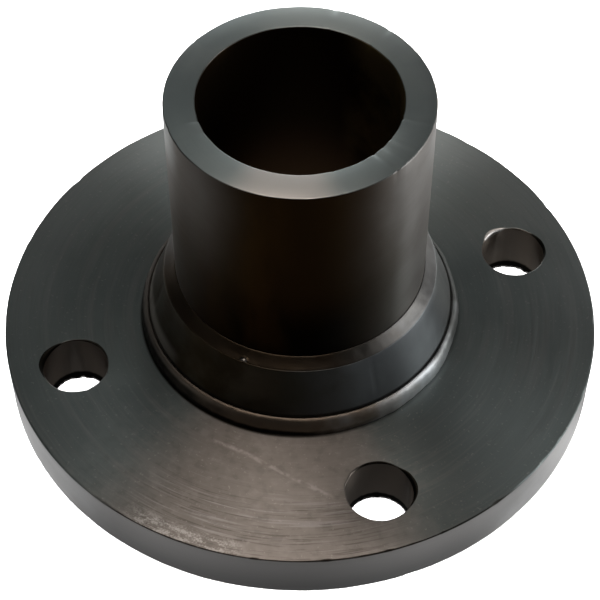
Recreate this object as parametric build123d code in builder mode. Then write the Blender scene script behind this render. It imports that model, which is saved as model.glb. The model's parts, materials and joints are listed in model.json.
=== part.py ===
from build123d import *
import os

os.makedirs("parts", exist_ok=True)

# Weld neck flange, built up from a drilled plate, a tapered collar and a pipe
# neck, and joined by three ring welds.
#
# Frame: millimetres, +Z up the pipe. The origin is the centre of the gasket
# face, so the flange stands on z = 0 and the neck points up. The bolt holes
# straddle the X and Y axes.

# ---------------------------------------------------------------------------
# Driving dimensions
# ---------------------------------------------------------------------------
flange_od = 177.8            # NPS 2 1/2, class 150
overall_length = 105.0       # gasket face to the welding end of the neck

plate_thickness = 15.9       # bolting plate without its raised face
raised_face_od = 104.8
raised_face_height = 1.6

bolt_circle = 139.7
bolt_count = 4
bolt_hole = 19.05            # for 5/8 inch bolts
first_hole_angle = 45.0

pipe_od = 73.0               # NPS 2 1/2 pipe
pipe_bore = 55.5
spigot_od = 71.0             # pipe turned down where it sits in the collar and the plate
spigot_bore = 71.2           # bore of the collar and the plate, around that spigot

hub_foot_od = 90.4           # collar where it stands on the plate
hub_top_od = 80.2            # collar at its upper end
hub_foot_height = 6.2        # straight part at the collar's foot
hub_height = 20.6            # collar, from the plate to its upper end

foot_weld_leg = 2.9          # foot weld, measured out across the plate
shoulder_weld_rise = 2.6     # shoulder weld, measured up the pipe
seal_weld_land = 3.0         # pipe end left square inside the seal weld

edge_break = 0.5             # small chamfer on every machined edge

# ---------------------------------------------------------------------------
# Heights and radii that follow from them
# ---------------------------------------------------------------------------
plate_bottom = raised_face_height
plate_top = plate_bottom + plate_thickness
hub_foot_top = plate_top + hub_foot_height
hub_top = plate_top + hub_height
shoulder_top = hub_top + shoulder_weld_rise

pipe_radius = pipe_od / 2
bore_radius = pipe_bore / 2
spigot_radius = spigot_od / 2
spigot_bore_radius = spigot_bore / 2
hub_foot_radius = hub_foot_od / 2
hub_top_radius = hub_top_od / 2
seal_weld_inner_radius = bore_radius + seal_weld_land
seal_weld_depth = spigot_radius - seal_weld_inner_radius   # the spigot is bevelled at 45 degrees


def circles_of_radius(part, radius):
    """The part's circular edges that have this radius."""
    return part.edges().filter_by(
        lambda edge: edge.geom_type == GeomType.CIRCLE and abs(edge.radius - radius) < 0.01
    )


# ---------------------------------------------------------------------------
# Flange plate: drilled ring with the raised gasket face turned on its underside
# ---------------------------------------------------------------------------
with BuildPart() as flange_plate:
    with BuildSketch(Plane.XY):
        Circle(raised_face_od / 2)
    extrude(amount=raised_face_height)

    with BuildSketch(Plane.XY.offset(plate_bottom)):
        Circle(flange_od / 2)
    extrude(amount=plate_thickness)

    with BuildSketch(Plane.XY):
        Circle(spigot_bore_radius)
        with PolarLocations(bolt_circle / 2, bolt_count, start_angle=first_hole_angle):
            Circle(bolt_hole / 2)
    extrude(amount=plate_top, mode=Mode.SUBTRACT)

    chamfer(circles_of_radius(flange_plate, flange_od / 2), edge_break)
    chamfer(circles_of_radius(flange_plate, bolt_hole / 2), edge_break)
flange_plate.part.label = "flange_plate"
export_step(flange_plate.part, "parts/flange_plate.step")

# ---------------------------------------------------------------------------
# Hub collar: tapered ring that stands on the plate and holds the pipe's spigot
# ---------------------------------------------------------------------------
with BuildPart() as hub_collar:
    with BuildSketch(Plane.XZ):
        with BuildLine():
            Polyline(
                (spigot_bore_radius, plate_top),
                (hub_foot_radius, plate_top),
                (hub_foot_radius, hub_foot_top),
                (hub_top_radius, hub_top),
                (spigot_bore_radius, hub_top),
                close=True,
            )
        make_face()
    revolve(axis=Axis.Z)
hub_collar.part.label = "hub_collar"
export_step(hub_collar.part, "parts/hub_collar.step")

# ---------------------------------------------------------------------------
# Neck pipe: its spigot runs down through the collar and the plate to the gasket
# face, and the bevel above the spigot leaves room for the shoulder weld
# ---------------------------------------------------------------------------
with BuildPart() as neck_pipe:
    with BuildSketch(Plane.XZ):
        with BuildLine():
            Polyline(
                (bore_radius, 0),
                (seal_weld_inner_radius, 0),
                (spigot_radius, seal_weld_depth),
                (spigot_radius, hub_top),
                (pipe_radius, shoulder_top),
                (pipe_radius, overall_length),
                (bore_radius, overall_length),
                close=True,
            )
        make_face()
    revolve(axis=Axis.Z)
    chamfer(neck_pipe.faces().sort_by(Axis.Z)[-1].edges(), edge_break)
neck_pipe.part.label = "neck_pipe"
export_step(neck_pipe.part, "parts/neck_pipe.step")

# ---------------------------------------------------------------------------
# Foot weld: crowned bead between the plate and the collar's straight foot
# ---------------------------------------------------------------------------
with BuildPart() as foot_weld:
    with BuildSketch(Plane.XZ):
        with BuildLine():
            Polyline(
                (hub_foot_radius, hub_foot_top),
                (hub_foot_radius, plate_top),
                (hub_foot_radius + foot_weld_leg, plate_top),
            )
            EllipticalCenterArc(
                (hub_foot_radius, plate_top),
                foot_weld_leg,
                hub_foot_height,
                start_angle=0,
                arc_size=90,
            )
        make_face()
    revolve(axis=Axis.Z)
foot_weld.part.label = "foot_weld"
export_step(foot_weld.part, "parts/foot_weld.step")

# ---------------------------------------------------------------------------
# Shoulder weld: fills the pipe's bevel and joins it to the collar's upper end
# ---------------------------------------------------------------------------
with BuildPart() as shoulder_weld:
    with BuildSketch(Plane.XZ):
        with BuildLine():
            Polyline(
                (spigot_radius, hub_top),
                (hub_top_radius, hub_top),
                (pipe_radius, shoulder_top),
                close=True,
            )
        make_face()
    revolve(axis=Axis.Z)
shoulder_weld.part.label = "shoulder_weld"
export_step(shoulder_weld.part, "parts/shoulder_weld.step")

# ---------------------------------------------------------------------------
# Gasket side weld: fills the bevel at the spigot's end, flush with the gasket face
# ---------------------------------------------------------------------------
with BuildPart() as gasket_side_weld:
    with BuildSketch(Plane.XZ):
        with BuildLine():
            Polyline(
                (seal_weld_inner_radius, 0),
                (spigot_bore_radius, 0),
                (spigot_bore_radius, seal_weld_depth),
                (spigot_radius, seal_weld_depth),
                close=True,
            )
        make_face()
    revolve(axis=Axis.Z)
gasket_side_weld.part.label = "gasket_side_weld"
export_step(gasket_side_weld.part, "parts/gasket_side_weld.step")
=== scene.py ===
import json
import math
import random

import bmesh
import bpy
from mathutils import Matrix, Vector, noise
from mathutils.geometry import delaunay_2d_cdt


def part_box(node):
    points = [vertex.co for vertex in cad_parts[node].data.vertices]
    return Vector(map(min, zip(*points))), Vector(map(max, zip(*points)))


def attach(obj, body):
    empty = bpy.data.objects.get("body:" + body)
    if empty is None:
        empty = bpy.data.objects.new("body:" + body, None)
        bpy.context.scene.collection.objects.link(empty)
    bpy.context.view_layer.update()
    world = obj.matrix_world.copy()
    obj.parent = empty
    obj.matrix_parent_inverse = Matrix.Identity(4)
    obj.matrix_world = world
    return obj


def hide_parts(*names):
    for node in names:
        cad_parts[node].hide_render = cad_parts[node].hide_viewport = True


# A weld neck flange: drilled plate, tapered collar, pipe neck and three ring
# welds. Every piece is a turned body about Z, so most of this script makes
# outlines of (radius, height), turns them, and roughens them slightly.

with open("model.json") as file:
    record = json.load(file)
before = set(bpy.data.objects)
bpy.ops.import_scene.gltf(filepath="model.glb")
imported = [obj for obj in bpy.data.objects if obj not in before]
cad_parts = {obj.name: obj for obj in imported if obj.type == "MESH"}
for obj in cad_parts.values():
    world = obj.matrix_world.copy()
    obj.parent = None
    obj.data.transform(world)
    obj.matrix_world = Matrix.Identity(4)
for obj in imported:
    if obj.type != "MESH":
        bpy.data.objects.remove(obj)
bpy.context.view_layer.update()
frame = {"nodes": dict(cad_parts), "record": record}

MM = 0.001

# ---------------------------------------------------------------------------
# Sizes read from the frame
# ---------------------------------------------------------------------------
mounts = {mount["name"]: mount for mount in frame["record"]["mounts"]}

_, plate_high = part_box("flange_plate")
_, collar_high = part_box("hub_collar")
_, foot_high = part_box("foot_weld")
_, shoulder_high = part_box("shoulder_weld")
_, pipe_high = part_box("neck_pipe")
_, seal_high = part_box("gasket_side_weld")

plate_radius = plate_high.x
plate_top = plate_high.z
plate_bottom = mounts["bolt_circle"]["pos_m"][2]
bolt_count = int(mounts["bolt_circle"]["dims"]["count"])
bolt_circle_radius = mounts["bolt_circle"]["dims"]["pcd_mm"] / 2 * MM
bolt_hole_radius = mounts["bolt_circle"]["dims"]["hole_r_mm"] * MM
bore_radius = mounts["through_bore"]["dims"]["r_mm"] * MM

pipe_radius = pipe_high.x
pipe_top = pipe_high.z
collar_foot_radius = collar_high.x
collar_top = collar_high.z
shoulder_radius = shoulder_high.x
shoulder_top = shoulder_high.z
foot_radius = foot_high.x
foot_top = foot_high.z
seat_radius = seal_high.x      # bore of the plate and the collar, round the pipe's spigot
seal_depth = seal_high.z

wall = pipe_radius - bore_radius
first_hole = math.radians(45)      # the holes straddle the X and Y axes


def widest(node, low, high):
    """The largest radius among a CAD node's points between two heights."""
    points = [vertex.co for vertex in frame["nodes"][node].data.vertices]
    return max(point.xy.length for point in points if low <= point.z <= high)


raised_face_radius = widest("flange_plate", 0, plate_bottom / 2)
spigot_radius = widest("neck_pipe", seal_depth - 1 * MM, collar_top - 1 * MM)

# the photograph is taken from this far round, anticlockwise from above, from the -Y side
camera_azimuth = math.radians(26.43)


# ---------------------------------------------------------------------------
# Directions. A bearing is in degrees from the camera's right, anticlockwise from above
# ---------------------------------------------------------------------------
def turn_to(bearing):
    """The angle about Z, from +X, of a bearing."""
    return camera_azimuth + math.radians(bearing)


def toward(bearing, elevation=0.0):
    """The direction of a bearing, this many degrees above level."""
    turn = turn_to(bearing)
    up = math.radians(elevation)
    return Vector((math.cos(turn) * math.cos(up), math.sin(turn) * math.cos(up), math.sin(up)))


# ---------------------------------------------------------------------------
# Unevenness
# ---------------------------------------------------------------------------
def uneven(angle, seed, waves):
    """Smooth noise round the axis, from about -1 to 1, that closes on itself."""
    return noise.noise(Vector((math.cos(angle) * waves, math.sin(angle) * waves, seed)))


def make_nicks(count, seed, narrow, wide):
    """Scattered small dents: a list of (angle, half width, strength from 0 to 1)."""
    dice = random.Random(seed)
    return [
        (dice.uniform(0, 2 * math.pi), dice.uniform(narrow, wide), dice.uniform(0.3, 1.0))
        for _ in range(count)
    ]


def dent(angle, nicks):
    """How far into a dent this angle lies, from 0 to 1."""
    depth = 0.0
    for middle, half_width, strength in nicks:
        away = abs((angle - middle + math.pi) % (2 * math.pi) - math.pi) / half_width
        if away < 1:
            depth = max(depth, strength * (1 - away * away) ** 2)
    return depth


# ---------------------------------------------------------------------------
# Mesh helpers
# ---------------------------------------------------------------------------
def add_piece(name, mesh, node, material):
    """Puts a finished mesh in the scene as the piece that stands for a CAD node."""
    mesh.materials.append(material)
    piece = bpy.data.objects.new(name, mesh)
    bpy.context.scene.collection.objects.link(piece)
    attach(piece, "root")
    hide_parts(node)
    return piece


class Shell:
    """A closed surface made of rings of points, strips between them, and flat drilled faces."""

    def __init__(self, name):
        self.name = name
        self.built = bmesh.new()
        self.painted_light = self.built.verts.layers.float.new("painted_light")

    def ring(self, place, count, centre=(0.0, 0.0), painted_light=None):
        """One ring of points. place(angle) gives the radius and the height there.

        painted_light(angle), if it's given, marks the points: above 0 a painted highlight, below 0
        painted shade.
        """
        points = []
        for step in range(count):
            angle = 2 * math.pi * step / count
            radius, height = place(angle)
            x = centre[0] + radius * math.cos(angle)
            y = centre[1] + radius * math.sin(angle)
            point = self.built.verts.new((x, y, height))
            if painted_light:
                point[self.painted_light] = painted_light(angle)
            points.append(point)
        return points

    def strip(self, ring, following):
        """Four-sided faces between two rings of the same count."""
        count = len(ring)
        for step in range(count):
            ahead = (step + 1) % count
            corners = (ring[step], ring[ahead], following[ahead], following[step])
            self.built.faces.new(corners).smooth = True

    def strips(self, rings):
        for ring, following in zip(rings, rings[1:]):
            self.strip(ring, following)

    def drilled_face(self, outline, openings):
        """A flat face inside one ring and outside the others."""
        points = []
        owners = []
        edges = []
        for owner, ring in enumerate([outline, *openings]):
            first = len(points)
            points.extend(ring)
            owners.extend([owner] * len(ring))
            edges.extend((first + i, first + (i + 1) % len(ring)) for i in range(len(ring)))
        flat = [point.co.xy for point in points]
        inside_outline = 1
        filled = delaunay_2d_cdt(flat, edges, [], inside_outline, 1e-7)
        triangles, sources = filled[2], filled[3]
        for triangle in triangles:
            corners = [sources[corner][0] for corner in triangle]
            touched = {owners[corner] for corner in corners}
            in_an_opening = len(touched) == 1 and touched != {0}
            if not in_an_opening:
                self.built.faces.new([points[corner] for corner in corners])

    def finish(self, sharp_degrees=35):
        """The finished mesh, facing outwards, with crisp edges where it turns sharply."""
        bmesh.ops.recalc_face_normals(self.built, faces=self.built.faces)
        mesh = bpy.data.meshes.new(self.name)
        self.built.to_mesh(mesh)
        self.built.free()
        mesh.set_sharp_from_angle(angle=math.radians(sharp_degrees))
        return mesh


def bend(start, corner, end, share):
    """The number or point this share of the way along a curve that rounds off a corner."""
    return start * (1 - share) ** 2 + corner * 2 * share * (1 - share) + end * share ** 2


def eased(corners, radius, steps=4):
    """The closed outline through these corners, each one rounded off by about this radius."""
    outline = []
    for index, corner in enumerate(corners):
        here = Vector(corner)
        before = Vector(corners[index - 1])
        after = Vector(corners[(index + 1) % len(corners)])
        reach = min(radius, (before - here).length / 3, (after - here).length / 3)
        start = here + (before - here).normalized() * reach
        end = here + (after - here).normalized() * reach
        for step in range(steps + 1):
            outline.append(bend(start, here, end, step / steps))
    return outline


def refined(outline, longest):
    """The same closed outline with its long straight parts cut into shorter ones."""
    points = []
    for here, after in zip(outline, outline[1:] + outline[:1]):
        pieces = max(1, math.ceil((after - here).length / longest))
        points.extend(here.lerp(after, i / pieces) for i in range(pieces))
    return points


def turned(name, outline, shift, count=360):
    """Turns a closed outline about Z. shift(radius, height, angle) gives the point's final place."""
    shell = Shell(name)
    rings = [
        shell.ring(lambda angle: shift(point.x, point.y, angle), count)
        for point in outline
    ]
    shell.strips(rings + rings[:1])
    return shell.finish()


# ---------------------------------------------------------------------------
# Flange plate: faced and drilled, with worn edges and a serrated raised face
# ---------------------------------------------------------------------------
rim_count = 540
hole_count = 72
bore_count = 240

# The larger chips out of the upper edge of each hole, from the hole at 45 degrees on: bearing,
# half width, depth, and the light painted on them (above 0 a painted highlight, below 0 painted shade)
hole_chips = (
    ((126, 34, 2.0, 1.0), (15, 45, 1.0, -0.8)),
    (),
    ((164, 50, 2.1, -1.0), (60, 60, 0.5, -0.4)),
    ((12, 50, 1.8, -1.0), (95, 50, 0.6, -0.5)),
)
# painted shade that dulls the highlight along the rounded upper edge of every hole
hole_edge_shade = -0.25

# The ragged burr that the drill has left under each hole: how far it reaches into the hole, and
# how far it hangs below the plate
hole_burrs = (0.85 * MM, 0.4 * MM, 0.85 * MM, 0.35 * MM)
burr_drop = 0.95 * MM

# Its section, from the hole's wall to the plate's underside: how far inward and downward, as
# shares of its size, and the painted shade on it under the plate
burr_profile = (
    (0.0, -1.2, 0.0),
    (0.5, -0.3, -0.6),
    (0.9, 0.4, -0.6),
    (1.0, 0.9, -0.6),
    (0.6, 1.0, -0.6),
    (-0.7, 0.0, 0.0),
)


def rounded(start, corner, end, share):
    """The (radius, height) this share of the way round a rounded corner."""
    return bend(start[0], corner[0], end[0], share), bend(start[1], corner[1], end[1], share)


def worn_edge(shell, face_height, inward, seed, nicks):
    """Rounded and nicked rings from a flat face out to the rim. inward is -1 on top and 1 below."""
    edge_break = 0.55 * MM
    steps = 4
    rings = []
    for step in range(steps + 1):
        def place(angle):
            gone = edge_break * (1 + 0.45 * uneven(angle, seed, 9) + 1.1 * dent(angle, nicks))
            start = (plate_radius - gone, face_height)
            corner = (plate_radius, face_height)
            end = (plate_radius, face_height + inward * gone)
            return rounded(start, corner, end, step / steps)
        rings.append(shell.ring(place, rim_count))
    return rings


def turn_rim(shell):
    """Makes the rim, and gives the two rings where it meets the flat faces, the upper one first."""
    waviness = 0.05 * MM
    top_nicks = make_nicks(count=34, seed=3, narrow=0.006, wide=0.03)
    bottom_nicks = make_nicks(count=20, seed=8, narrow=0.008, wide=0.04)
    top_edge = worn_edge(shell, plate_top, -1, 1.3, top_nicks)
    bottom_edge = worn_edge(shell, plate_bottom, 1, 7.7, bottom_nicks)
    wall_rings = []
    for share in (0.2, 0.4, 0.6, 0.8):
        height = plate_top + (plate_bottom - plate_top) * share

        def place(angle):
            return plate_radius - waviness * (1 + uneven(angle, 20 + 9 * share, 14)), height
        wall_rings.append(shell.ring(place, rim_count))
    shell.strips(top_edge + wall_rings + bottom_edge[::-1])
    return top_edge[0], bottom_edge[0]


def drill_hole(shell, hole):
    """Makes a hole with a chipped upper edge and a burr below, and gives its two end rings."""
    edge_break = 0.35 * MM
    steps = 6
    turn = first_hole + 2 * math.pi * hole / bolt_count
    centre = (bolt_circle_radius * math.cos(turn), bolt_circle_radius * math.sin(turn))
    nicks = make_nicks(count=5, seed=40 + hole, narrow=0.08, wide=0.3)
    chips = [
        (turn_to(bearing), math.radians(half_width), depth)
        for bearing, half_width, depth, _ in hole_chips[hole]
    ]
    looks = [look for *_, look in hole_chips[hole]]

    def chip_light(angle):
        """The painted shade along the edge here, with the painted highlights and shade of the chips."""
        return hole_edge_shade + sum(dent(angle, [chip]) * look for chip, look in zip(chips, looks))

    rings = []
    for step in range(steps + 1):
        def place(angle):
            gone = edge_break * (1 + 0.5 * uneven(angle, hole, 3) + 1.6 * dent(angle, nicks + chips))
            start = (bolt_hole_radius + gone, plate_top)
            corner = (bolt_hole_radius, plate_top)
            end = (bolt_hole_radius, plate_top - gone)
            return rounded(start, corner, end, step / steps)
        between_ends = 0 < step < steps
        rings.append(shell.ring(place, hole_count, centre, chip_light if between_ends else None))
    for inward, downward, look in burr_profile:
        def place(angle):
            ragged = 1 + 0.6 * uneven(angle, 60 + hole, 6)
            radius = bolt_hole_radius - hole_burrs[hole] * inward * ragged
            return radius, plate_bottom - burr_drop * downward * ragged
        rings.append(shell.ring(place, hole_count, centre, lambda angle: look))
    shell.strips(rings)
    return rings[0], rings[-1]


def raised_face_outline():
    """From the plate's underside, across the serrations, and up the bore to the top face."""
    serration_pitch = 0.8 * MM
    serration_depth = 0.06 * MM
    plain_border = 1 * MM
    serrated_width = raised_face_radius - seat_radius - 2 * plain_border
    outline = [
        (raised_face_radius, plate_bottom),
        (raised_face_radius, 0.4 * MM),
        (raised_face_radius - 0.1 * MM, 0.1 * MM),
        (raised_face_radius - 0.4 * MM, 0.0),
    ]
    for groove in range(int(serrated_width / serration_pitch)):
        crest = raised_face_radius - plain_border - groove * serration_pitch
        outline.append((crest, 0.0))
        outline.append((crest - serration_pitch / 2, serration_depth))
    outline.append((seat_radius + 0.3 * MM, 0.0))
    outline.append((seat_radius, 0.3 * MM))
    outline.append((seat_radius, plate_top))
    return outline


def build_plate():
    shell = Shell("plate_body")
    top_rim, bottom_rim = turn_rim(shell)
    top_holes, bottom_holes = zip(*[drill_hole(shell, hole) for hole in range(bolt_count)])
    face_rings = [shell.ring(lambda angle: point, bore_count) for point in raised_face_outline()]
    shell.strips(face_rings)
    shell.drilled_face(top_rim, [face_rings[-1], *top_holes])
    shell.drilled_face(bottom_rim, [face_rings[0], *bottom_holes])
    return shell.finish()


# ---------------------------------------------------------------------------
# Neck pipe: faced end with a worn lip, slightly uneven wall
# ---------------------------------------------------------------------------
def build_neck():
    outline = refined(eased([
        (bore_radius, 0.0),
        (seat_radius - seal_depth, 0.0),
        (spigot_radius, seal_depth),
        (spigot_radius, collar_top),
        (pipe_radius, shoulder_top),
        (pipe_radius, pipe_top),
        (bore_radius, pipe_top),
    ], radius=0.45 * MM), longest=4 * MM)
    lip_nicks = make_nicks(count=14, seed=5, narrow=0.012, wide=0.035)
    lip_reach = 0.8 * MM

    def shift(radius, height, angle):
        """Wears the lip at the top of the pipe, and makes its wall very slightly uneven."""
        lip = max(0.0, 1 - (pipe_top - height) / lip_reach)
        outside = radius > bore_radius + wall / 2
        seed = 3.1 if outside else 11.7
        worn = lip * MM * (0.12 * (1 + uneven(angle, seed, 7)) + 0.3 * dent(angle, lip_nicks))
        edge = max(0.0, 1 - min(pipe_radius - radius, radius - bore_radius) / lip_reach)
        dip = lip * edge * MM * 0.12 * dent(angle, lip_nicks)
        if height < shoulder_top:
            return radius, height
        if outside:
            return radius - worn * edge, height - dip
        return radius + worn * edge, height - dip

    return turned("neck_body", outline, shift)


# ---------------------------------------------------------------------------
# Hub collar: straight foot and taper
# ---------------------------------------------------------------------------
def build_collar():
    outline = refined(eased([
        (seat_radius, plate_top),
        (collar_foot_radius, plate_top),
        (collar_foot_radius, foot_top),
        (shoulder_radius, collar_top),
        (seat_radius, collar_top),
    ], radius=0.25 * MM), longest=2.5 * MM)
    taper_nicks = make_nicks(count=9, seed=12, narrow=0.02, wide=0.06)

    def shift(radius, height, angle):
        """Grinding on the taper leaves it slightly uneven; its two seams stay put."""
        share = (height - foot_top) / (collar_top - foot_top)
        if share <= 0 or share >= 1 or radius < shoulder_radius - 1 * MM:
            return radius, height
        bulge = math.sin(math.pi * share)
        ground = 0.14 * MM * (1 + uneven(angle, height / MM * 0.25, 5)) * bulge
        return radius - ground - 0.25 * MM * bulge * dent(angle, taper_nicks), height

    return turned("collar_body", outline, shift)


# ---------------------------------------------------------------------------
# Welds: a crowned uneven bead at the foot, a ground one at the shoulder, and a
# dressed one flush with the gasket face
# ---------------------------------------------------------------------------
def build_foot_bead():
    leg = foot_radius - collar_foot_radius
    rise = foot_top - plate_top
    groove = 0.45 * MM
    fullness = 0.62
    crown_steps = 14
    outline = [
        Vector((collar_foot_radius, plate_top)),
        Vector((foot_radius - 1.5 * groove, plate_top)),
        Vector((foot_radius - 0.5 * groove, plate_top + groove / 2)),
    ]
    for step in range(crown_steps + 1):
        turn = math.pi / 2 * step / crown_steps
        radius = collar_foot_radius + leg * math.cos(turn) ** fullness
        height = plate_top + rise * math.sin(turn) ** fullness
        if height > plate_top + groove and radius > collar_foot_radius + groove:
            outline.append(Vector((radius, height)))
    outline.append(Vector((collar_foot_radius + groove / 2, foot_top - 0.7 * groove)))
    outline.append(Vector((collar_foot_radius, foot_top - 1.6 * groove)))

    def shift(radius, height, angle):
        """Swells and thins the bead round the hub, with the fine ripple that a weld pool leaves."""
        out = (radius - collar_foot_radius) / leg
        up = (height - plate_top) / rise
        slow = 0.5 + 0.5 * uneven(angle, 2.2, 4)
        quick = 0.5 + 0.5 * uneven(angle, 31 + up, 22)
        thinner = MM * (0.75 * slow + 0.3 * quick) * out
        lower = MM * (0.35 * slow + 0.2 * quick) * up * out
        return radius - thinner, height - lower

    return turned("foot_bead", outline, shift, count=540)


# a drop of weld metal has stuck to the lower edge of the shoulder weld
spatter_size = 1.3 * MM
spatter_turn = turn_to(-113.5)
spatter_place = Vector((
    (shoulder_radius - 0.2 * MM) * math.cos(spatter_turn),
    (shoulder_radius - 0.2 * MM) * math.sin(spatter_turn),
    collar_top + 0.1 * MM,
))


def build_shoulder_bead():
    outline = refined(eased([
        (spigot_radius, collar_top),
        (shoulder_radius, collar_top),
        (pipe_radius, shoulder_top),
    ], radius=0.35 * MM), longest=0.6 * MM)

    def shift(radius, height, angle):
        """The ground slope keeps low waves and a few deeper grinder marks."""
        slope_share = (radius - pipe_radius) / (shoulder_radius - pipe_radius)
        if not 0 < slope_share < 1 or height < collar_top + 0.1 * MM:
            return radius, height
        bulge = math.sin(math.pi * slope_share)
        ground = 0.22 * MM * bulge * (0.5 + 0.5 * uneven(angle, 5.5, 11))
        point = Vector((radius * math.cos(angle), radius * math.sin(angle), height))
        away = (point - spatter_place).length / spatter_size
        return radius, height - ground + 0.5 * spatter_size * max(0.0, 1 - away * away)

    return turned("shoulder_bead", outline, shift, count=720)


def build_seal_bead():
    inner = seat_radius - seal_depth
    outline = refined(eased([
        (inner, 0.0),
        (seat_radius, 0.0),
        (seat_radius, seal_depth),
        (spigot_radius, seal_depth),
    ], radius=0.25 * MM), longest=0.7 * MM)
    ripples = 96

    def shift(radius, height, angle):
        """Shallow pool ripples left in the dressed face."""
        if height > 0.3 * MM:
            return radius, height
        share = (radius - inner) / (seat_radius - inner)
        bulge = max(0.0, math.sin(math.pi * min(1.0, share)))
        ripple = 0.5 + 0.5 * math.sin(angle * ripples + 5 * share + 4 * uneven(angle, 9.1, 9))
        return radius, height + 0.05 * MM * bulge * ripple * (1 + uneven(angle, 4.4, 6))

    return turned("seal_bead", outline, shift, count=576)


# ---------------------------------------------------------------------------
# Material helpers
# ---------------------------------------------------------------------------
class Graph:
    """Shorthands for wiring together one steel material with its grain running round the axis."""

    def __init__(self, name, anisotropic):
        self.material = bpy.data.materials.new(name)
        self.material.use_nodes = True
        self.tree = self.material.node_tree
        self.shader = self.tree.nodes["Principled BSDF"]
        self.shader.inputs["Metallic"].default_value = 1.0
        self.shader.inputs["Anisotropic"].default_value = anisotropic
        self.shader.inputs["Anisotropic Rotation"].default_value = 0.25
        around_axis = self.tree.nodes.new("ShaderNodeTangent")
        around_axis.direction_type = "RADIAL"
        around_axis.axis = "Z"
        self.link(around_axis.outputs[0], self.shader.inputs["Tangent"])

        # what the materials read: the place, its height, its radius and direction about the
        # axis, and how far the surface there faces up
        place = self.tree.nodes.new("ShaderNodeTexCoord")
        self.place = place.outputs["Object"]
        parts = self.tree.nodes.new("ShaderNodeSeparateXYZ")
        self.link(self.place, parts.inputs[0])
        self.height = parts.outputs["Z"]
        flat = self.tree.nodes.new("ShaderNodeCombineXYZ")
        self.link(parts.outputs["X"], flat.inputs["X"])
        self.link(parts.outputs["Y"], flat.inputs["Y"])
        self.flat = flat.outputs[0]
        self.radius = self.vector("LENGTH", self.flat)
        self.direction = self.vector("NORMALIZE", self.flat)
        facing = self.tree.nodes.new("ShaderNodeNewGeometry")
        facing_parts = self.tree.nodes.new("ShaderNodeSeparateXYZ")
        self.link(facing.outputs["Normal"], facing_parts.inputs[0])
        self.facing_up = facing_parts.outputs["Z"]

    def link(self, source, target):
        self.tree.links.new(source, target)

    def feed(self, target, value):
        """Sets a socket to a plain value, or links it to another socket."""
        if isinstance(value, bpy.types.NodeSocket):
            self.link(value, target)
        else:
            target.default_value = value

    def math(self, operation, first, second=0.0):
        node = self.tree.nodes.new("ShaderNodeMath")
        node.operation = operation
        self.feed(node.inputs[0], first)
        self.feed(node.inputs[1], second)
        return node.outputs[0]

    def times(self, first, *others):
        """All these numbers multiplied together."""
        product = first
        for other in others:
            product = self.math("MULTIPLY", product, other)
        return product

    def between(self, factor, low, high):
        """A number from low to high as the factor goes from 0 to 1."""
        return self.math("ADD", low, self.times(factor, high - low))

    def blend(self, factor, first, second):
        """Blends two numbers."""
        return self.math("ADD", first, self.times(factor, self.math("SUBTRACT", second, first)))

    def vector(self, operation, first, second=None):
        node = self.tree.nodes.new("ShaderNodeVectorMath")
        node.operation = operation
        self.feed(node.inputs[0], first)
        if operation == "SCALE":
            self.feed(node.inputs["Scale"], second)
        elif second is not None:
            self.feed(node.inputs[1], second)
        is_number = operation in ("LENGTH", "DISTANCE", "DOT_PRODUCT")
        return node.outputs["Value"] if is_number else node.outputs["Vector"]

    def fade(self, value, low, high):
        """0 at low, 1 at high, smooth between them."""
        node = self.tree.nodes.new("ShaderNodeMapRange")
        node.interpolation_type = "SMOOTHSTEP"
        self.feed(node.inputs["Value"], value)
        node.inputs["From Min"].default_value = low
        node.inputs["From Max"].default_value = high
        return node.outputs["Result"]

    def attribute(self, name):
        node = self.tree.nodes.new("ShaderNodeAttribute")
        node.attribute_name = name
        return node.outputs["Fac"]

    def noise(self, place, scale, detail):
        node = self.tree.nodes.new("ShaderNodeTexNoise")
        self.feed(node.inputs["Vector"], place)
        node.inputs["Scale"].default_value = scale
        node.inputs["Detail"].default_value = detail
        return node.outputs["Fac"]

    def lathe_noise(self, around, pitch, detail):
        """Noise that changes slowly round the axis and quickly across the lathe's grooves."""
        across = self.math("DIVIDE", self.math("ADD", self.radius, self.height), pitch)
        lift = self.tree.nodes.new("ShaderNodeCombineXYZ")
        self.link(across, lift.inputs["Z"])
        place = self.vector("ADD", self.vector("SCALE", self.direction, around), lift.outputs[0])
        return self.noise(place, 1.0, detail)

    def mix(self, factor, first, second):
        """Blends two colours."""
        node = self.tree.nodes.new("ShaderNodeMix")
        node.data_type = "RGBA"
        self.feed(node.inputs["Factor"], factor)
        self.feed(node.inputs["A"], self.opaque(first))
        self.feed(node.inputs["B"], self.opaque(second))
        return node.outputs["Result"]

    def paint(self, colour, over, *amounts):
        """The colour with another over it, as strongly as all the amounts multiplied together."""
        return self.mix(self.times(*amounts), colour, over)

    @staticmethod
    def opaque(colour):
        return colour if isinstance(colour, bpy.types.NodeSocket) else (*colour, 1.0)

    def side(self, bearing, edge, full):
        """1 on the side of the part that faces this way. edge and full are half angles in degrees."""
        facing = self.vector("DOT_PRODUCT", self.direction, toward(bearing))
        return self.fade(facing, math.cos(math.radians(edge)), math.cos(math.radians(full)))

    def blotchy_side(self, bearing, blotches):
        """1 on the side of the hub that faces this way, fading out unevenly round it."""
        facing = self.vector("DOT_PRODUCT", self.direction, toward(bearing))
        drift = self.times(self.math("SUBTRACT", blotches, 0.5), 0.9)
        return self.fade(self.math("ADD", facing, drift), 0.15, 0.85)

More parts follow.
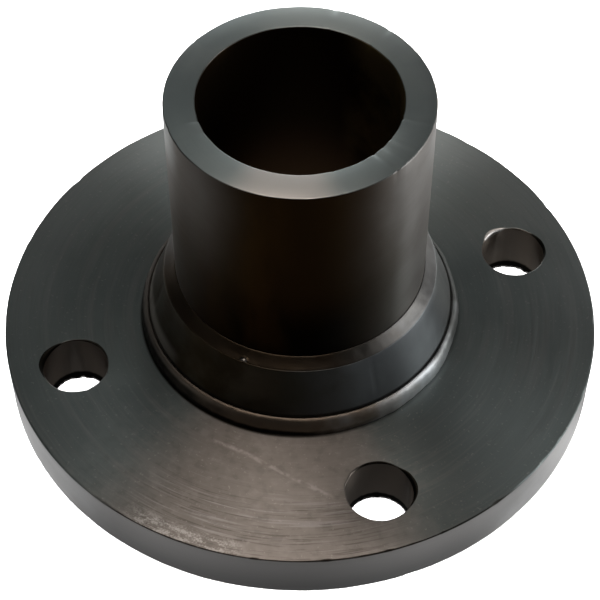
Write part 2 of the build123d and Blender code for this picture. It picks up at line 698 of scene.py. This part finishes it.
    def scratch(self, start, end):
        """A thin broken line on the facing, between two points of (x, y)."""
        begin = Vector((*start, 0.0))
        along = Vector((*end, 0.0)) - begin
        forward = along.normalized()
        sideways = Vector((-forward.y, forward.x, 0.0))
        offset = self.vector("SUBTRACT", self.flat, begin)
        distance = self.vector("DOT_PRODUCT", offset, forward)
        drift = self.times(self.math("SUBTRACT", self.noise(self.flat, 60.0, 5), 0.5), 4 * MM)
        aside = self.math("ADD", self.vector("DOT_PRODUCT", offset, sideways), drift)
        line = self.fade(self.math("ABSOLUTE", aside), 0.95 * MM, 0.10 * MM)
        begun = self.fade(distance, 0, 3 * MM)
        unfinished = self.fade(distance, along.length, along.length - 4 * MM)
        broken = self.fade(self.noise(self.flat, 420.0, 4), 0.36, 0.58)
        return self.times(line, begun, unfinished, broken)

    def bump(self, height, distance, strength):
        node = self.tree.nodes.new("ShaderNodeBump")
        node.inputs["Strength"].default_value = strength
        node.inputs["Distance"].default_value = distance
        self.link(height, node.inputs["Height"])
        self.link(node.outputs[0], self.shader.inputs["Normal"])

    def finish(self, colour, roughness):
        self.link(colour, self.shader.inputs["Base Color"])
        self.link(roughness, self.shader.inputs["Roughness"])
        return self.material


# ---------------------------------------------------------------------------
# Materials
# ---------------------------------------------------------------------------
# near-black painted shade, for the crease round the foot weld, the hole edges and burrs, and the foot
# weld itself
painted_shade = (0.012, 0.011, 0.009)
painted_black_shade = (0.014, 0.012, 0.010)


def facing_colour(g, blotches):
    """The plate's upper face: turned grey, with painted shade and painted sheen on some sides, and its
    marks.
    """
    bands = g.lathe_noise(0.8, 3.0 * MM, 3)
    outer_part = g.fade(g.radius, 0.74 * plate_radius, 0.95 * plate_radius)
    top = g.mix(g.fade(blotches, 0.38, 0.62), (0.170, 0.195, 0.191), (0.198, 0.225, 0.218))
    top = g.paint(top, (0.215, 0.232, 0.225), g.fade(bands, 0.45, 0.70))
    # painted shade on the front-right, and painted sheen on the back-right and along the back edge
    top = g.paint(top, (0.138, 0.160, 0.157), g.side(-50, 36, 14), 0.8)
    top = g.paint(top, (0.265, 0.295, 0.290), g.side(47, 34, 12), 0.6)
    top = g.paint(top, (0.315, 0.340, 0.335), g.side(90, 115, 75), outer_part, 0.55)

    # warmer and paler on the side nearest the camera: a brown tint, with painted sheen where the turned
    # face's highlight falls
    top = g.paint(top, (0.205, 0.180, 0.161), g.side(-100, 36, 14), 0.8)
    top = g.paint(top, (0.275, 0.255, 0.235), g.side(-86, 24, 8), 0.6)
    top = facing_marks(g, top)

    # one broken scratch across the facing
    scratch_start = (-0.02 * plate_radius, -0.612 * plate_radius)
    scratch_end = (0.45 * plate_radius, -0.645 * plate_radius)
    top = g.paint(top, (0.46, 0.43, 0.41), g.scratch(scratch_start, scratch_end), 0.50)

    # painted shade in the crease round the foot weld, thickest on the left
    crease_shade_side = g.between(g.side(-155, 100, 50), 0.35, 1.0)
    crease = g.fade(g.radius, foot_radius + 0.5 * MM, foot_radius - 0.4 * MM)
    return g.paint(top, painted_shade, crease, crease_shade_side)


def facing_marks(g, top):
    """The marks of tools and handling, mostly on the side nearest the camera, with a painted highlight
    on the tool's arcs there.
    """
    # arcs that the facing tool left, with dark lines among them, painted bright as a highlight mostly
    # on the side nearest the camera
    arcs = g.lathe_noise(3.0, 0.75 * MM, 3)
    dark_lines = g.lathe_noise(6.0, 0.5 * MM, 3)
    outer_part = g.fade(g.radius, 0.72 * plate_radius, 0.84 * plate_radius)
    arc_sheen_places = g.between(g.times(g.side(-98, 30, 14), outer_part), 0.12, 0.9)
    top = g.paint(top, (0.32, 0.305, 0.295), g.fade(arcs, 0.53, 0.66), arc_sheen_places)
    top = g.paint(top, (0.095, 0.083, 0.072), g.fade(dark_lines, 0.47, 0.36), arc_sheen_places, 0.6)

    # metal rubbed bare in streaks near the edge, and a few specks all over
    rubbing = g.lathe_noise(150.0, 0.55 * MM, 3)
    streaks = g.lathe_noise(22.0, 1.4 * MM, 2)
    rubbed = g.fade(g.math("ADD", rubbing, streaks), 0.88, 1.22)
    near_edge = g.fade(g.radius, 0.93 * plate_radius, 0.965 * plate_radius)
    top = g.paint(top, (0.50, 0.49, 0.47), g.side(-112, 13, 7), near_edge, rubbed, 0.75)
    speckle = g.noise(g.place, 1100.0, 2)
    top = g.paint(top, (0.50, 0.48, 0.45), g.fade(speckle, 0.64, 0.74), 0.25)

    # a weak pale and dark mottle
    mottle = g.noise(g.place, 320.0, 4)
    mottled_side = g.side(-100, 50, 20)
    top = g.paint(top, (0.360, 0.345, 0.325), g.fade(mottle, 0.50, 0.70), mottled_side, 0.22)
    return g.paint(top, (0.085, 0.082, 0.075), g.fade(mottle, 0.46, 0.30), mottled_side, 0.22)


def rim_colour(g, blotches, flatness, top):
    """Barer steel, with painted shade low down in front, painted sheen above it there, and a painted
    dark line along its rounded edges in front.
    """
    bare = g.mix(g.fade(blotches, 0.40, 0.62), (0.45, 0.452, 0.452), (0.385, 0.383, 0.38))
    rising = g.fade(g.height, plate_bottom, plate_top)
    # painted shade low down in front, and painted sheen above it there
    front = g.mix(rising, (0.345, 0.342, 0.340), (0.66, 0.645, 0.635))
    bare = g.paint(bare, front, g.side(-92, 46, 22))
    rim = g.mix(g.fade(flatness, 0.60, 0.20), top, bare)
    # painted shade: a dark line along the rim's rounded edges in front
    corner = g.times(g.fade(flatness, 0.985, 0.93), g.fade(flatness, 0.25, 0.60))
    return g.paint(rim, (0.030, 0.024, 0.019), corner, g.side(-87, 42, 36), 0.85)


def plate_steel():
    """Dull facing on top, a barer rim, brown hole walls, and a clean serrated gasket face, with painted
    highlights and shade on the hole edges and burrs.
    """
    g = Graph("plate_steel", 0.75)
    grooves = g.lathe_noise(2.5, 0.35 * MM, 4)
    blotches = g.noise(g.place, 38.0, 4)
    flatness = g.math("ABSOLUTE", g.facing_up)
    top = facing_colour(g, blotches)

    drilled = g.mix(g.fade(blotches, 0.40, 0.62), (0.235, 0.205, 0.175), (0.17, 0.148, 0.122))
    # painted sheen: the walls of the front and left holes are paler
    drilled = g.paint(drilled, (0.270, 0.236, 0.205), g.side(-130, 110, 80))
    colour = g.paint(top, drilled, g.fade(flatness, 0.985, 0.80))

    on_rim = g.fade(g.radius, plate_radius - 2 * MM, plate_radius - 1.2 * MM)
    colour = g.paint(colour, rim_colour(g, blotches, flatness, top), on_rim)

    # painted highlights and painted shade marked on the hole edges and the burrs
    painted_light = g.attribute("painted_light")
    painted_glint = (0.62, 0.61, 0.59)
    gasket_face = (0.50, 0.50, 0.49)
    colour = g.paint(colour, painted_glint, g.fade(painted_light, 0.05, 0.5))
    colour = g.paint(colour, painted_shade, g.fade(painted_light, -0.05, -0.5))
    colour = g.paint(colour, gasket_face, g.fade(g.facing_up, -0.80, -0.97))

    g.bump(grooves, 0.03 * MM, 0.6)
    return g.finish(colour, g.between(grooves, 0.34, 0.50))


def neck_wall_colour(g, blotches):
    """Brown on the near side, with painted shade that makes it blackest low down, and painted sheen
    that makes the sides paler, most of all higher up.
    """
    drips = g.noise(g.vector("MULTIPLY", g.place, (1.0, 1.0, 0.3)), 70.0, 4)
    low_down = g.fade(g.height, 0.66 * pipe_top, 0.46 * pipe_top)
    # painted shade: black low down on the near side
    low_front_shade = g.times(low_down, g.side(-92, 38, 16))
    brown_and_shade = g.mix(low_front_shade, (0.040, 0.022, 0.008), (0.006, 0.004, 0.002))
    streaked = g.times(g.fade(drips, 0.46, 0.64), g.side(-130, 42, 18))
    brown_and_shade = g.paint(brown_and_shade, (0.070, 0.036, 0.010), streaked, 0.6)

    # painted sheen: paler higher up, on the right and on the left, with a painted highlight on the far
    # left by the end
    high_up = g.fade(g.height, 0.60 * pipe_top, 0.95 * pipe_top)
    by_the_end = g.fade(g.height, 0.84 * pipe_top, 0.96 * pipe_top)
    plain = g.mix(high_up, (0.135, 0.128, 0.116), (0.215, 0.209, 0.200))
    plain = g.paint(plain, (0.290, 0.282, 0.270), g.side(-25, 22, 6), 0.8)
    plain = g.paint(plain, (0.225, 0.212, 0.195), g.side(-166, 46, 18), 0.7)
    plain = g.paint(plain, (0.50, 0.52, 0.51), g.side(-174, 24, 8), by_the_end)

    # the brown, shaded side narrows and turns to the right, up the wall
    up_the_wall = g.fade(g.height, collar_top, 0.95 * pipe_top)
    clean_below = g.math("SUBTRACT", 1.0, g.side(-106, 64, 16))
    clean_above = g.math("SUBTRACT", 1.0, g.side(-92, 53, 8))
    clean = g.blend(up_the_wall, clean_below, clean_above)
    patchy = g.between(g.fade(blotches, 0.3, 0.7), 0.75, 1.15)
    return g.paint(brown_and_shade, plain, clean, patchy)


def neck_steel():
    """Brown-black wall, blacker bore, and a paler faced end."""
    g = Graph("pipe_steel", 0.5)
    g.shader.inputs["Specular Tint"].default_value = (0.5, 0.5, 0.5, 1)
    grooves = g.lathe_noise(2.0, 0.5 * MM, 4)
    blotches = g.noise(g.place, 45.0, 4)

    # bore: sooty, with a browner patch on the right and a rusty lower part
    low_down = g.fade(g.height, 0.72 * pipe_top, 0.45 * pipe_top)
    soot = g.mix(low_down, (0.034, 0.022, 0.012), (0.085, 0.050, 0.028))
    soot = g.paint(soot, (0.30, 0.22, 0.10), g.side(22, 45, 15), g.fade(blotches, 0.35, 0.6))
    in_bore = g.fade(g.radius, bore_radius + 0.5 * wall, bore_radius + 0.3 * wall)
    colour = g.paint(neck_wall_colour(g, blotches), soot, in_bore)

    # faced end: pale, with a warm painted sheen in front, and dark lips
    faced = g.mix(g.fade(blotches, 0.35, 0.65), (0.285, 0.328, 0.325), (0.335, 0.372, 0.365))
    faced = g.paint(faced, (0.50, 0.485, 0.46), g.side(-97, 28, 8), 0.9)
    faced = g.paint(faced, (0.075, 0.075, 0.072), g.fade(g.facing_up, 0.98, 0.88), 0.85)
    colour = g.paint(colour, faced, g.fade(g.facing_up, 0.4, 0.8))

    g.bump(grooves, 0.03 * MM, 0.5)
    return g.finish(colour, g.between(grooves, 0.32, 0.44))


def collar_steel():
    """Ground taper: grey, brown-black on one side, partly its own tint and partly painted shade, with
    painted sheen on the right and a dark seam at its foot.
    """
    g = Graph("hub_steel", 0.5)
    grooves = g.lathe_noise(2.0, 0.4 * MM, 4)
    blotches = g.noise(g.place, 60.0, 4)
    grey = g.mix(g.fade(blotches, 0.35, 0.65), (0.134, 0.145, 0.152), (0.170, 0.186, 0.194))
    # brown-black on the front-left side: partly its own tint, partly painted shade
    darkened = g.mix(g.fade(blotches, 0.45, 0.65), (0.036, 0.026, 0.014), (0.062, 0.056, 0.042))
    colour = g.paint(grey, darkened, g.blotchy_side(-145, blotches))

    # rubbed low down on the left, painted sheen on the right, and smeared high up in front
    rubbed = g.times(g.side(-174, 34, 14), g.fade(g.height, foot_top + 5 * MM, foot_top + 2 * MM))
    colour = g.paint(colour, (0.340, 0.325, 0.295), rubbed, g.fade(blotches, 0.30, 0.50))
    colour = g.paint(colour, (0.270, 0.280, 0.272), g.side(8, 32, 12), 0.8)
    smear = g.times(g.side(-118, 24, 8), g.fade(g.height, foot_top + 2 * MM, foot_top + 6 * MM))
    colour = g.paint(colour, (0.085, 0.070, 0.050), smear, g.fade(blotches, 0.35, 0.6))
    seam = g.fade(g.height, foot_top + 0.8 * MM, foot_top + 0.2 * MM)
    colour = g.paint(colour, (0.020, 0.019, 0.017), seam, 0.85)

    g.bump(grooves, 0.03 * MM, 0.5)
    return g.finish(colour, g.between(grooves, 0.30, 0.42))


def weld_steel(name, dark, light, side_darkening, smooth, dull):
    """Weld metal with a fine grain, darker on some sides.

    side_darkening lists (bearing, colour, heights). heights are where the darkening fades out and where
    it's full, or None for darkening from top to bottom.
    """
    g = Graph(name, 0.3)
    grain = g.noise(g.place, 700.0, 3)
    blotches = g.noise(g.place, 90.0, 4)
    colour = g.mix(g.fade(blotches, 0.35, 0.65), dark, light)
    for bearing, darkened, heights in side_darkening:
        amount = g.blotchy_side(bearing, blotches)
        if heights:
            amount = g.times(amount, g.fade(g.height, *heights))
        colour = g.paint(colour, darkened, amount)
    from_spatter = g.vector("DISTANCE", g.place, spatter_place)
    spatter = g.fade(from_spatter, spatter_size, 0.5 * spatter_size)
    colour = g.paint(colour, (0.40, 0.39, 0.37), spatter, 0.8)
    g.bump(grain, 0.05 * MM, 0.5)
    return g.finish(colour, g.between(grain, smooth, dull))


# painted shade: the bead darkened on its front-left, back-right and left sides, and blackened near its
# top on the left and near its foot on the front-left
foot_metal = weld_steel("foot_metal", (0.62, 0.66, 0.69), (0.76, 0.80, 0.83), (
    (-116, (0.200, 0.163, 0.128), None),
    (30, (0.120, 0.125, 0.120), None),
    (166, (0.120, 0.110, 0.098), None),
    (168, painted_black_shade, (foot_top - 0.6 * MM, foot_top - 1.8 * MM)),
    (-134, painted_black_shade, (plate_top + 2.6 * MM, plate_top + 1.4 * MM)),
), 0.42, 0.54)
shoulder_metal = weld_steel("shoulder_metal", (0.10, 0.098, 0.092), (0.13, 0.13, 0.128), (
    (-125, (0.066, 0.050, 0.034), None),
), 0.28, 0.42)
seal_metal = weld_steel("seal_metal", (0.30, 0.30, 0.29), (0.42, 0.42, 0.41), (), 0.30, 0.44)

add_piece("plate_body", build_plate(), "flange_plate", plate_steel())
add_piece("neck_body", build_neck(), "neck_pipe", neck_steel())
add_piece("collar_body", build_collar(), "hub_collar", collar_steel())
add_piece("foot_bead", build_foot_bead(), "foot_weld", foot_metal)
add_piece("shoulder_bead", build_shoulder_bead(), "shoulder_weld", shoulder_metal)
add_piece("seal_bead", build_seal_bead(), "gasket_side_weld", seal_metal)

# ---------------------------------------------------------------------------
# Camera
# ---------------------------------------------------------------------------
def look_back(name, data, location, outward):
    """Puts a camera or a lamp in the scene, facing back against this direction."""
    thing = bpy.data.objects.new(name, data)
    bpy.context.scene.collection.objects.link(thing)
    thing.location = location
    thing.rotation_mode = "QUATERNION"
    thing.rotation_quaternion = (-outward).to_track_quat("-Z", "Y")
    return thing


camera_distance = 5.896 * plate_radius
camera_target = Vector((0, 0, plate_bottom + 0.216 * plate_radius))
camera_elevation = 50.65
camera_outward = toward(-90, camera_elevation)
camera_data = bpy.data.cameras.new("camera")
camera_data.sensor_width = 36
camera_data.lens = 104.3
camera_data.clip_start = 0.01
camera_data.clip_end = 20
camera_place = camera_target + camera_outward * camera_distance
bpy.context.scene.camera = look_back("camera", camera_data, camera_place, camera_outward)

# ---------------------------------------------------------------------------
# Light: round softboxes that face the flange
# ---------------------------------------------------------------------------
light_distance = 11.25 * plate_radius
light_size = 7.0 * plate_radius
light_target = Vector((0, 0, 0.45 * plate_radius))


def soft_light(name, bearing, elevation, radiance, colour):
    """A softbox. Its power is pi times its radiance times its area."""
    outward = toward(bearing, elevation)
    data = bpy.data.lights.new(name, "AREA")
    data.shape = "DISK"
    data.size = light_size
    data.energy = radiance * (math.pi * light_size / 2) ** 2
    data.color = colour
    light = look_back(name, data, light_target + outward * light_distance, outward)
    light.visible_camera = False


neutral = (1.0, 0.99, 0.985)
warm = (1.0, 0.89, 0.82)
cool = (0.94, 1.0, 0.99)
for name, bearing, elevation, radiance, colour in (
    ("key_low", 0, 12, 3.1, neutral),
    ("key_high", 0, 35, 1.9, neutral),
    ("right_back", 45, 12, 1.0, neutral),
    ("back", 90, 12, 3.6, neutral),
    ("overhead", 180, 86, 3.5, warm),
    ("left_low", 200, 10, 0.35, neutral),
    ("back_left", 135, 12, 0.2, neutral),
    ("front_right", 315, 12, 0.2, neutral),
    ("top_back", 120, 58, 0.2, cool),
):
    soft_light(name, bearing, elevation, radiance, colour)


def plain_material(name, colour, emission):
    material = bpy.data.materials.new(name)
    material.use_nodes = True
    shader = material.node_tree.nodes["Principled BSDF"]
    shader.inputs["Base Color"].default_value = (*colour, 1)
    shader.inputs["Specular IOR Level"].default_value = 0.0
    shader.inputs["Emission Color"].default_value = (1, 1, 1, 1)
    shader.inputs["Emission Strength"].default_value = emission
    return material


def level_at(bearing, stops):
    """The brightness at a bearing, easing from each stop of (bearing, level) to the next."""
    around = [*stops, (stops[0][0] + 360, stops[0][1])]
    for (start, level), (end, next_level) in zip(around, around[1:]):
        if start <= bearing < end:
            ease = (1 - math.cos(math.pi * (bearing - start) / (end - start))) / 2
            return level * (1 - ease) + next_level * ease


def bounce_ring(name, inner, outer, stops):
    """A ring of glowing card on the floor, seen only in the steel. Its stops start at bearing 0."""
    around_count = 120
    points = []
    glow = []
    for radius in (inner * plate_radius, outer * plate_radius):
        for step in range(around_count):
            bearing = 360 * step / around_count
            turn = turn_to(bearing)
            points.append((radius * math.cos(turn), radius * math.sin(turn), 0.2 * MM))
            glow.append(level_at(bearing, stops))
    faces = []
    for step in range(around_count):
        ahead = (step + 1) % around_count
        faces.append((step, around_count + step, around_count + ahead, ahead))
    mesh = bpy.data.meshes.new(name)
    mesh.from_pydata(points, [], faces)
    mesh.attributes.new("glow", "FLOAT", "POINT").data.foreach_set("value", glow)
    material = plain_material(name, (0, 0, 0), 1.0)
    reader = material.node_tree.nodes.new("ShaderNodeAttribute")
    reader.attribute_name = "glow"
    shader = material.node_tree.nodes["Principled BSDF"]
    material.node_tree.links.new(reader.outputs["Fac"], shader.inputs["Emission Strength"])
    mesh.materials.append(material)
    card = bpy.data.objects.new(name, mesh)
    bpy.context.scene.collection.objects.link(card)
    card.visible_camera = False
    card.visible_shadow = False
    card.visible_diffuse = False



# what the steel sees of the floor: close beside the rim, farther out, and under the flange
bounce_ring("bounce_near", 0.97, 1.25, (
    (0, 0.2), (30, 0.45), (60, 0.9), (90, 0.6), (130, 0.6), (150, 0.9), (180, 0.85), (200, 1.05),
    (212, 0.85), (232, 0.28), (270, 0.18), (300, 0.28), (320, 0.68), (335, 1.1), (352, 0.2),
))
bounce_ring("bounce_far", 1.25, 9, (
    (0, 1.07), (45, 1.72), (90, 0.41), (135, 1.28),
    (180, 0.31), (225, 0.18), (270, 0.12), (315, 0.23),
))
bounce_ring("bounce_under_holes", 0.6, 0.97, (
    (0, 0.26), (45, 0.18), (90, 0.11), (180, 0.09), (315, 0.09),
))
bounce_ring("bounce_under_bore", 0.001, 0.31, ((0, 0.2),))

# ---------------------------------------------------------------------------
# Floor: white because of lamps that the steel doesn't show. One shines straight
# down, and three low ones reach in under the edge of the plate
# ---------------------------------------------------------------------------
floor_reach = 3
floor_corners = [
    (-floor_reach, -floor_reach, 0),
    (floor_reach, -floor_reach, 0),
    (floor_reach, floor_reach, 0),
    (-floor_reach, floor_reach, 0),
]
floor_mesh = bpy.data.meshes.new("floor")
floor_mesh.from_pydata(floor_corners, [], [(0, 1, 2, 3)])
floor_mesh.materials.append(plain_material("floor", (0.9, 0.9, 0.9), 0.0))
floor = bpy.data.objects.new("floor", floor_mesh)
bpy.context.scene.collection.objects.link(floor)
floor.visible_glossy = False
floor.visible_diffuse = False


def floor_lamp(name, bearing, elevation, energy, softness):
    """A sun that lights the floor and that the steel doesn't show. softness is its width in degrees."""
    outward = toward(bearing, elevation)
    data = bpy.data.lights.new(name, "SUN")
    data.energy = energy
    data.angle = math.radians(softness)
    lamp = look_back(name, data, outward * light_distance, outward)
    lamp.visible_glossy = False


floor_lamp("floor_wash", 0, 90, 9.0, 8)
for bearing in (205, 270, 335):
    floor_lamp(f"floor_low_{bearing}", bearing, 14, 12.0, 12)

world = bpy.data.worlds.new("world")
bpy.context.scene.world = world
world.use_nodes = True
world.node_tree.nodes["Background"].inputs["Color"].default_value = (1, 1, 1, 1)
world.cycles_visibility.diffuse = False
world.cycles_visibility.glossy = False
bpy.context.scene.view_settings.view_transform = "Standard"
